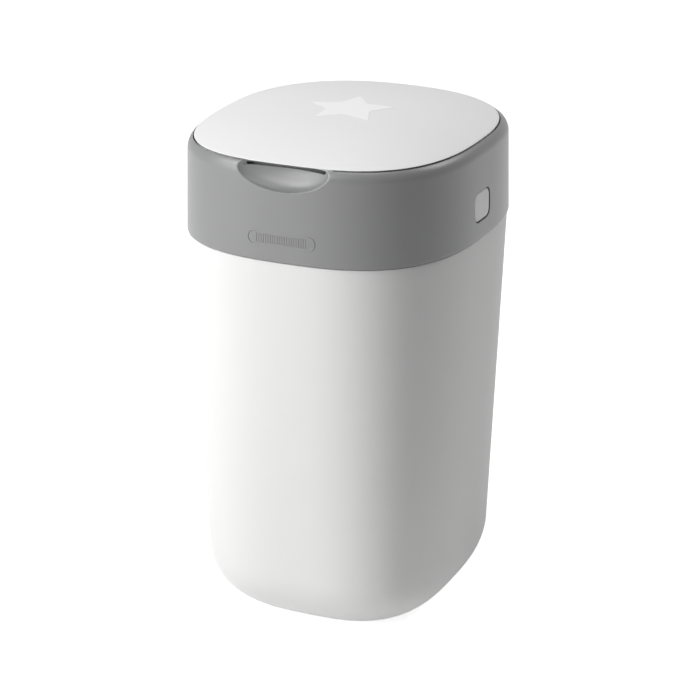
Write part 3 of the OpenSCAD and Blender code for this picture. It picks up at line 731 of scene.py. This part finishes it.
def badge_ring(inset, proud):
    """One turn round the badge: inset from its outline, and standing proud of the wall."""
    ring = []
    for x, z in rounded_outline(BADGE_W - 2 * inset, BADGE_H - 2 * inset, (BADGE_H / 2 - inset) * BADGE_ROUND,
                                BADGE_CORNER_STEPS):
        height = COLLAR_Z + BADGE_UP + z
        ring.append((x, front_y(x, height, proud), height))
    return ring


def strips(first, count):
    """Faces straight across a pad, which close the ring that begins at this point."""
    return [(first + i, first + i + 1, first + count - 2 - i, first + count - 1 - i) for i in range(count // 2 - 1)]


def pad_faces(rings, back):
    """Faces between the rings of a pad, the faces of its back, and strips that close its front."""
    count, rows = len(rings[0]), len(rings)
    faces = [(j * count + i, j * count + (i + 1) % count, (j + 1) * count + (i + 1) % count, (j + 1) * count + i)
             for j in range(rows - 1) for i in range(count)]
    return faces + back + strips((rows - 1) * count, count)


rings = [badge_ring(0, -BADGE_ROOT), badge_ring(0, 0)]
for k in range(BORDER_STEPS + 1):
    t = math.pi * k / BORDER_STEPS
    rings.append(badge_ring(BADGE_BORDER * (1 - math.cos(t)) / 2, BADGE_PROUD * math.sin(t) + BADGE_LIFT))
faces = pad_faces(rings, [tuple(reversed(range(len(rings[0]))))])
badge = new_object("collar_badge", solid([p for ring in rings for p in ring], faces, split=True))
shade(badge, sharp=50)
place(badge, "upper_unit", "collar_plastic", grey_matte)


def recipe(name, **kinds):
    """An empty Geometry Nodes tree whose named inputs are of the given kinds."""
    tree = bpy.data.node_groups.new(name, "GeometryNodeTree")
    for label, kind in kinds.items():
        tree.interface.new_socket(name=label.replace("_", " "), in_out="INPUT", socket_type="NodeSocket" + kind)
    tree.interface.new_socket(name="Geometry", in_out="OUTPUT", socket_type="NodeSocketGeometry")
    return tree, tree.nodes.new("NodeGroupInput").outputs, tree.nodes.new("NodeGroupOutput").inputs


def times(tree, value, factor):
    """A socket multiplied by a number or by another socket."""
    return reckon(tree, "MULTIPLY", value, factor)


def across(tree, x=0.0, y=0.0, z=0.0):
    """A vector with these parts."""
    return step(tree, "ShaderNodeCombineXYZ", {"X": x, "Y": y, "Z": z})


def finish_recipe(tree, shape, material, result):
    """Ends a tree: the shape made real, with its material on it."""
    shape = step(tree, "GeometryNodeRealizeInstances", {"Geometry": shape})
    shape = step(tree, "GeometryNodeSetMaterial", {"Geometry": shape, "Material": material})
    tree.links.new(shape, result["Geometry"])


def bake(name, tree, values):
    """Runs a Geometry Nodes tree with these values and keeps its result as a plain mesh."""
    obj = new_object(name, bpy.data.meshes.new(name))
    modifier = obj.modifiers.new(name, "NODES")
    modifier.node_group = tree
    for item in tree.interface.items_tree:
        if item.in_out == "INPUT":
            modifier[item.identifier] = values[item.name]
    mesh = bpy.data.meshes.new_from_object(obj.evaluated_get(bpy.context.evaluated_depsgraph_get()))
    obj.modifiers.clear()
    obj.data = mesh
    return obj


tree, given, result = recipe(
    "upright_ribs", Count="Int", Pitch="Float", Rib_Height="Float", Rib_Radius="Float", Middle="Vector",
    Wall_Half_Width="Float", Wall_Spread="Float", Wall_Depth="Float", Wall_Corner="Float", Surface="Material")
along = times(tree, reckon(tree, "SUBTRACT", given["Count"], 1.0), given["Pitch"])
line = step(tree, "GeometryNodeMeshLine", {
    "Count": given["Count"], "Start Location": across(tree, x=times(tree, along, -0.5)),
    "Offset": across(tree, x=given["Pitch"])}, mode="OFFSET")
rib_end = times(tree, given["Rib Height"], 0.5)
core = step(tree, "GeometryNodeCurvePrimitiveLine", {
    "Start": across(tree, z=times(tree, rib_end, -1.0)), "End": across(tree, z=rib_end)})
core = step(tree, "GeometryNodeResampleCurve", {"Curve": core, "Count": RIB_STEPS})
place_on = tree.nodes.new("GeometryNodeSplineParameter").outputs["Factor"]
from_middle = reckon(tree, "ABSOLUTE", reckon(tree, "MULTIPLY_ADD", place_on, 2.0, -1.0))
swell = reckon(tree, "SQRT", reckon(tree, "SUBTRACT", RIB_FULLNESS, reckon(tree, "POWER", from_middle, RIB_TAPER)))
core = step(tree, "GeometryNodeSetCurveRadius", {"Curve": core, "Radius": swell})
profile = step(tree, "GeometryNodeCurvePrimitiveCircle", {
    "Resolution": RIB_SIDES, "Radius": given["Rib Radius"]})
rib = step(tree, "GeometryNodeCurveToMesh", {"Curve": core, "Profile Curve": profile, "Fill Caps": True})
ribs = step(tree, "GeometryNodeInstanceOnPoints", {"Points": line, "Instance": rib})
ribs = step(tree, "GeometryNodeRealizeInstances", {"Geometry": ribs})
ribs = step(tree, "GeometryNodeSetPosition", {"Geometry": ribs, "Offset": given["Middle"]})
spot = step(tree, "ShaderNodeSeparateXYZ", {"Vector": tree.nodes.new("GeometryNodeInputPosition").outputs[0]}).node
half = reckon(tree, "MULTIPLY_ADD", spot.outputs["Z"], given["Wall Spread"], given["Wall Half Width"])
share = reckon(tree, "POWER", reckon(tree, "DIVIDE", reckon(tree, "ABSOLUTE", spot.outputs["X"]), half),
               given["Wall Corner"])
reach = reckon(tree, "POWER", reckon(tree, "SUBTRACT", 1.0, share),
               reckon(tree, "DIVIDE", 1.0, given["Wall Corner"]))
back = times(tree, times(tree, reach, half), times(tree, given["Wall Depth"], -1.0))
ribs = step(tree, "GeometryNodeSetPosition", {"Geometry": ribs, "Offset": across(tree, y=back)})
finish_recipe(tree, ribs, given["Surface"], result)
spread = -COLLAR_FLARE / (RIM_START_Z - COLLAR_Z)
badge_ribs = bake("collar_badge_ribs", tree, {
    "Count": RIB_COUNT, "Pitch": RIB_PITCH, "Rib Height": RIB_HEIGHT, "Rib Radius": RIB_RADIUS,
    "Middle": (0, AXIS_Y, COLLAR_Z + BADGE_UP), "Wall Half Width": BODY_HW - spread * RIM_START_Z,
    "Wall Spread": spread, "Wall Depth": DEPTH_RATIO, "Wall Corner": COLLAR_CORNER[0], "Surface": grey_matte})
shade(badge_ribs, sharp=40)
place(badge_ribs, "upper_unit", "collar_plastic", grey_matte)

# Inner deck and underside plate: light grey plastic mouldings, across the inside of the collar and
# across its lower end. The deck has the well of the twist ring and the seats of the springs, and the
# plate has the rails of the cutter. Both are screwed up into the bosses over them.
pale_grey = plastic("light_grey_plastic", (0.62, 0.62, 0.61), 0.45, grain_depth=0.05)
dress(pale_grey, "inner_deck", "underside_plate")

# Screws: zinc plated pan heads with a cross recess and a coarse thread, driven upwards in fours
# through the deck, the underside plate and the lid's liner.
HEAD_R, HEAD_T = 2.8 * MM, 1.2 * MM
HEAD_TAPER = 0.74
RECESS_W, RECESS_DEPTH = 0.75 * MM, 0.8 * MM
RECESS_REACH = 1.1
SHANK_R = 1.15 * MM
SHANK_CORE, THREAD_ROOT, THREAD_CREST = 0.82, 0.8, 0.2
THREAD_PITCH = 1.1 * MM
PLATE_SCREW = 99 * MM / math.sqrt(2)
LINER_SCREW_X, LINER_SCREW_Y = 60 * MM, 66 * MM
DECK_SEAT_Z = DECK_TOP - 2.5 * MM
PLATE_SEAT_Z = COLLAR_Z + 7 * MM
LINER_SEAT_Z = LEDGE_Z + 0.1 * MM
tree, given, result = recipe(
    "cross_head_screws", Head_Radius="Float", Head_Thickness="Float", Recess_Width="Float", Recess_Depth="Float",
    Shank_Radius="Float", Shank_Length="Float", Thread_Pitch="Float", Spread_X="Float", Spread_Y="Float",
    Seat="Vector", Metal="Material")
below = times(tree, given["Head Thickness"], -1.0)
head = step(tree, "GeometryNodeMeshCone", {
    "Vertices": 40, "Side Segments": 3, "Fill Segments": 3, "Depth": given["Head Thickness"],
    "Radius Top": given["Head Radius"], "Radius Bottom": times(tree, given["Head Radius"], HEAD_TAPER)})
head = step(tree, "GeometryNodeTransform", {"Geometry": head, "Translation": across(tree, z=below)})
cut = tree.nodes.new("GeometryNodeMeshBoolean")
cut.operation = "DIFFERENCE"
cut.solver = "MANIFOLD"
tree.links.new(head, cut.inputs["Mesh 1"])
arm = times(tree, given["Head Radius"], RECESS_REACH)
depth = times(tree, given["Recess Depth"], 2.0)
for x, y in ((arm, given["Recess Width"]), (given["Recess Width"], arm)):
    slot = step(tree, "GeometryNodeMeshCube", {"Size": across(tree, x=x, y=y, z=depth)})
    slot = step(tree, "GeometryNodeTransform", {"Geometry": slot, "Translation": across(tree, z=below)})
    tree.links.new(slot, cut.inputs["Mesh 2"])
shank = step(tree, "GeometryNodeMeshCylinder", {
    "Vertices": 24, "Radius": times(tree, given["Shank Radius"], SHANK_CORE), "Depth": given["Shank Length"]})
shank = step(tree, "GeometryNodeTransform", {
    "Geometry": shank, "Translation": across(tree, z=times(tree, given["Shank Length"], 0.5))})
root = times(tree, given["Shank Radius"], THREAD_ROOT)
helix = step(tree, "GeometryNodeCurveSpiral", {
    "Resolution": 20, "Rotations": reckon(tree, "DIVIDE", given["Shank Length"], given["Thread Pitch"]),
    "Start Radius": root, "End Radius": root, "Height": given["Shank Length"]})
crest = step(tree, "GeometryNodeCurvePrimitiveCircle", {
    "Resolution": 4, "Radius": times(tree, given["Shank Radius"], THREAD_CREST)})
thread = step(tree, "GeometryNodeCurveToMesh", {"Curve": helix, "Profile Curve": crest, "Fill Caps": True})
whole = tree.nodes.new("GeometryNodeJoinGeometry")
for part in (cut.outputs["Mesh"], shank, thread):
    tree.links.new(part, whole.inputs[0])
spots = step(tree, "GeometryNodeMeshGrid", {
    "Size X": times(tree, given["Spread X"], 2.0), "Size Y": times(tree, given["Spread Y"], 2.0),
    "Vertices X": 2, "Vertices Y": 2})
spots = step(tree, "GeometryNodeTransform", {"Geometry": spots, "Translation": given["Seat"]})
screws = step(tree, "GeometryNodeInstanceOnPoints", {"Points": spots, "Instance": whole.outputs[0]})
finish_recipe(tree, screws, given["Metal"], result)
zinc = metal("zinc_plate", (0.62, 0.62, 0.63), 0.3, 200)
for name, body, node, spread_x, spread_y, seat_z, length in (
        ("deck_screw_set", "upper_unit", "deck_screws", BOSS_X, BOSS_Y, DECK_SEAT_Z, 9 * MM),
        ("plate_screw_set", "upper_unit", "plate_screws", PLATE_SCREW, PLATE_SCREW, PLATE_SEAT_Z, 10 * MM),
        ("liner_screw_set", "lid", "liner_screws", LINER_SCREW_X, LINER_SCREW_Y, LINER_SEAT_Z, 9 * MM)):
    screw_set = bake(name, tree, {
        "Head Radius": HEAD_R, "Head Thickness": HEAD_T, "Recess Width": RECESS_W, "Recess Depth": RECESS_DEPTH,
        "Shank Radius": SHANK_R, "Shank Length": length, "Thread Pitch": THREAD_PITCH, "Spread X": spread_x,
        "Spread Y": spread_y, "Seat": (0, AXIS_Y, seat_z), "Metal": zinc})
    shade(screw_set)
    place(screw_set, body, "screw_steel", zinc, node)

# Film grip: a ring of springy fingers, moulded in one piece of tough dark grey plastic.
# Its flange is bonded round the throat of the underside plate, and the fingers hold the twisted film shut.
dress(plastic("spring_grey_plastic", (0.16, 0.165, 0.175), 0.5), "film_grip")

# Latch sliders and springs: a slider behind each button, moulded in light grey plastic with a hook
# for the bucket's spigot, and a coil wound from bright steel wire. The inner end of the coil sits
# on the deck. In the bin the coil shortens with the slider as the button is pressed; here it keeps one length.
SPRING_TURNS = 6
SPRING_WIRE_R = 0.8 * MM
dress(pale_grey, "latch_slider_left", "latch_slider_right")
tree, given, result = recipe(
    "coil_spring", Turns="Float", Length="Float", Coil_Radius="Float", Wire_Radius="Float", Seat="Vector",
    Lie="Vector", Metal="Material")
coil = step(tree, "GeometryNodeCurveSpiral", {
    "Resolution": 24, "Rotations": given["Turns"], "Start Radius": given["Coil Radius"],
    "End Radius": given["Coil Radius"], "Height": given["Length"]})
wire = step(tree, "GeometryNodeCurvePrimitiveCircle", {"Resolution": 10, "Radius": given["Wire Radius"]})
coil = step(tree, "GeometryNodeCurveToMesh", {"Curve": coil, "Profile Curve": wire, "Fill Caps": True})
coil = step(tree, "GeometryNodeTransform", {
    "Geometry": coil, "Translation": given["Seat"], "Rotation": given["Lie"]})
finish_recipe(tree, coil, given["Metal"], result)
spring_wire = metal("spring_wire", (0.55, 0.55, 0.56), 0.25, 300)
for side, name in ((-1, "left"), (1, "right")):
    low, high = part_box("latch_spring_" + name)
    seat_x, length = (high.x if side < 0 else low.x), high.x - low.x
    spring = bake("latch_coil_" + name, tree, {
        "Turns": SPRING_TURNS, "Length": length - 2 * SPRING_WIRE_R,
        "Coil Radius": (high.y - low.y) / 2 - SPRING_WIRE_R, "Wire Radius": SPRING_WIRE_R,
        "Seat": (seat_x + side * SPRING_WIRE_R, (low.y + high.y) / 2, (low.z + high.z) / 2),
        "Lie": (0, side * math.pi / 2, 0), "Metal": spring_wire})
    shade(spring, sharp=60)
    place(spring, "upper_unit", "spring_steel", spring_wire, "latch_spring_" + name)
    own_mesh(spring)

# Release buttons: off-white plastic mouldings with softly rounded edges, one in the hole on each side.
# Each follows the collar's wall a little inside it, and is pressed onto the end of a latch slider.
BUTTON_BACK = BODY_HW - 2.8 * MM
BUTTON_INSET = 0.5 * MM
BUTTON_EDGE = 1.3 * MM
BUTTON_CROWN = 0.012
BUTTON_RINGS = (3, 5, 7, 9, 11, 12)
EDGE_STEPS, BUTTON_CORNER_STEPS = 8, 12
SHARPEST = 0.4 * MM
SAME_POINT = 1e-6


def side_x(y, z, inset):
    """Where the collar's side wall is at this place, less an inset."""
    half = collar_hw(z)
    reach = 1 - (abs(y - AXIS_Y) / (DEPTH_RATIO * half)) ** COLLAR_CORNER[0]
    return half * reach ** (1 / COLLAR_CORNER[0]) - inset


def button_ring(inset, depth):
    """One turn round the button: inset from its outline, and depth behind the wall, or None at its back."""
    outline = rounded_outline(BUTTON_W - 2 * inset, BUTTON_H - 2 * inset, max(BUTTON_CORNER - inset, SHARPEST),
                              BUTTON_CORNER_STEPS)
    return [(BUTTON_Y + y, BUTTON_Z + z, depth) for y, z in outline]


rings = [button_ring(0, None)]
for k in range(EDGE_STEPS + 1):
    t = math.pi / 2 * k / EDGE_STEPS
    rings.append(button_ring(BUTTON_EDGE * (1 - math.cos(t)), BUTTON_INSET + BUTTON_EDGE * (1 - math.sin(t))))
for inset in BUTTON_RINGS:
    rings.append(button_ring(inset * MM, BUTTON_INSET - BUTTON_CROWN * inset * MM))
faces = pad_faces(rings, strips(0, len(rings[0])))
off_white = plastic("off_white_plastic", (0.62, 0.62, 0.62), 0.4)
for side, name in ((-1, "left"), (1, "right")):
    points = [(side * (BUTTON_BACK if depth is None else side_x(y, z, depth)), y, z)
              for ring in rings for y, z, depth in ring]
    button = new_object("button_moulding_" + name, solid(points, faces, SAME_POINT))
    shade(button)
    place(button, "latch_" + name, "button_plastic", off_white, "release_button_" + name)

# Lid: a thin domed shell moulded in off-white plastic, with a short skirt that sinks into the rim.
# It has knuckles at the rear, posts inside for the liner's screws, a recess for the star, and less
# skirt over the scoop, so that the fingers reach under its lip.
LID_RISE = 12.8 * MM
LID_T = 2.4 * MM
DOME_POWER = 2.5
UNDER_SHARE, UNDER_STEPS = 0.895, 24
OVER_SHARE, OVER_STEPS = 0.985, 48
LID_STEP = 4 * MM
LIP_T = 0.6 * MM
LIP_EDGE = 0.1 * MM
SKIRT_HW = LID_HW - 2.2 * MM
LID_SKIRT_T = 2.2 * MM
LID_SKIRT_Z = LEDGE_Z + 0.8 * MM
LID_SEAT_HW = LID_HW - 12.3 * MM
SEAL_Z = LEDGE_Z + 4.5 * MM
CROWN_Z = LID_EDGE_Z + LID_RISE
LINER_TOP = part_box("lid_liner")[1].z
LID_POST_H = 13.2 * MM
LID_ARM = 10 * MM
LID_ARM_DROP = 0.2 * MM
LID_RELIEF = 4 * MM
STAR_R = 39 * MM
STAR_GAP = 0.3 * MM
STAR_POINTS = 5
STAR_INNER = 0.5
STAR_TURN = math.radians(28.5)
STAR_T = 2.2 * MM
ABOVE_CROWN = CROWN_Z + 5 * MM


def dome(share, steps, below=0.0):
    """Levels of the dome from near its middle out to this share of the lid's half width."""
    halves = [k / steps * share * LID_HW for k in range(1, steps + 1)]
    return [(half, LID_EDGE_Z + LID_RISE * (1 - (half / LID_HW) ** DOME_POWER) - below, *LID_CORNER)
            for half in halves]


def star_outline(radius, soft=0.06, steps=4):
    """Star about the bin's own axis, with slightly blunt tips and inner corners."""
    corners = []
    for i in range(2 * STAR_POINTS):
        reach = radius * (1 if i % 2 == 0 else STAR_INNER)
        t = STAR_TURN + math.pi / STAR_POINTS * i
        corners.append(Vector((reach * math.cos(t), reach * math.sin(t))))
    points = []
    for i, corner in enumerate(corners):
        before = corner.lerp(corners[i - 1], soft)
        after = corner.lerp(corners[(i + 1) % len(corners)], soft)
        for k in range(steps + 1):
            t = k / steps
            p = (1 - t) ** 2 * before + 2 * t * (1 - t) * corner + t ** 2 * after
            points.append((p.x, p.y + AXIS_Y))
    return points


under = dome(UNDER_SHARE, UNDER_STEPS, LID_T)
over = dome(OVER_SHARE, OVER_STEPS)[::-1]
edge = [(half, z, *LID_CORNER) for half, z in (
    (LID_SEAT_HW, SEAL_Z),
    (SKIRT_HW - LID_SKIRT_T, SEAL_Z),
    (SKIRT_HW - LID_SKIRT_T, LID_SKIRT_Z),
    (SKIRT_HW, LID_SKIRT_Z),
    (SKIRT_HW, LID_EDGE_Z - LIP_T),
    (LID_HW, LID_EDGE_Z - LIP_T),
    (LID_HW, LID_EDGE_Z - LIP_EDGE))]
first = len(under)
levels = soften(under + edge + over, {
    first + 2: 0.5 * MM, first + 3: 0.5 * MM, first + 4: 0.4 * MM, first + 5: 0.2 * MM, first + 6: 1.3 * MM})
lid = new_object("lid_moulding", skin("lid", refine(levels, LID_STEP)))
for sx in (-1, 1):
    for sy in (-1, 1):
        combine(lid, post(sx * LINER_SCREW_X, AXIS_Y + sy * LINER_SCREW_Y, LINER_TOP, LINER_TOP + LID_POST_H,
                          BOSS_R), "UNION")
combine(lid, egg_slice(SCOOP_WALL + LID_RELIEF, LID_SKIRT_Z - 1 * MM, LID_EDGE_Z - LIP_T), "DIFFERENCE")
clear_barrels(lid, RIM_KNUCKLES)
ear = oblong(LID_HINGE_Y - LID_ARM, LID_HINGE_Y, SEAL_Z, LID_HINGE_Z + LID_BARREL_R - LID_ARM_DROP)
knuckles(lid, LID_KNUCKLES, ear, LID_HINGE_Y, LID_HINGE_Z, LID_BARREL_R)
combine(lid, rod(-BORE_HALF, BORE_HALF, LID_HINGE_Y, LID_HINGE_Z, LID_PIN_R + PIN_PLAY), "DIFFERENCE")
combine(lid, prism(star_outline(STAR_R + STAR_GAP), "z", CROWN_Z - STAR_T, ABOVE_CROWN), "DIFFERENCE")
shade(lid)
lid_white = plastic("lid_off_white_plastic", (0.85, 0.85, 0.85), 0.42)
place(lid, "lid", "lid_plastic", lid_white, "lid_shell")

# Star: a plain five-pointed inlay moulded in whiter plastic, and pressed into the recess in the
# crown of the lid. Its top follows the dome, a hair proud of it.
STAR_PROUD = 0.1 * MM
STAR_ROOT = CROWN_Z - 9 * MM

star = new_object("star_inlay", prism(star_outline(STAR_R), "z", CROWN_Z - STAR_T, ABOVE_CROWN))
cap = [(half, z + STAR_PROUD, front, rear) for half, z, front, rear in over if half < 2 * STAR_R]
combine(star, skin("cap", [(2 * STAR_R, STAR_ROOT, *LID_CORNER)] + cap), "INTERSECT")
shade(star, sharp=30)
place(star, "lid", "star_plastic", plastic("star_white_plastic", (0.97, 0.97, 0.97), 0.3), "lid_star")

# Liner and seal: a flat light grey plastic sheet that closes the lid from below, held by four screws,
# and a soft grey rubber ring that it traps. The ring closes on the ledge of the collar.
dress(pale_grey, "lid_liner")
dress(plastic("seal_rubber", (0.25, 0.255, 0.26), 0.7, grain_size=700, grain_depth=0.1), "lid_seal")

# Lid hinge pin: a thinner rod of the same drawn steel, pushed through the knuckles of the collar's
# rim and of the lid. The lid opens on it.
dress(hinge_steel, "lid_hinge_pin")

# Twist ring and cup: a satin blue-grey plastic ring with lugs that the hand turns, on a light grey
# plastic cup. Both are mouldings, and the cup hangs in the well of the deck and carries the refill.
blue_grey = plastic("blue_grey_plastic", (0.27, 0.33, 0.40), 0.35)
dress(blue_grey, "twist_ring")
dress(pale_grey, "cassette_cup")

# Cassette: a thin tub in pale blue plastic with a cap of the same plastic snapped onto it.
# It is a refill, and drops loosely into the cup.
dress(plastic("pale_blue_plastic", (0.35, 0.49, 0.62), 0.35), "cassette_tub", "cassette_cap")

# Film: a long sleeve of thin bluish film, folded up into a pleated ring in the tub.
# It is drawn out past the inner edge of the cap, and down through the throat.
dress(plastic("folded_film", (0.70, 0.78, 0.83), 0.25), "film_pack")

# Cutter slider: a finger grip moulded in the blue-grey plastic of the twist ring.
# It slides on the two rails under the underside plate.
dress(blue_grey, "cutter_slider")

# Cutter blade: a small blade of ground steel, set upright in a slot in the slider.
# Its edge stands in the narrow gap that the film is pushed into.
dress(metal("ground_steel", (0.70, 0.70, 0.71), 0.2, 400), "cutter_blade")
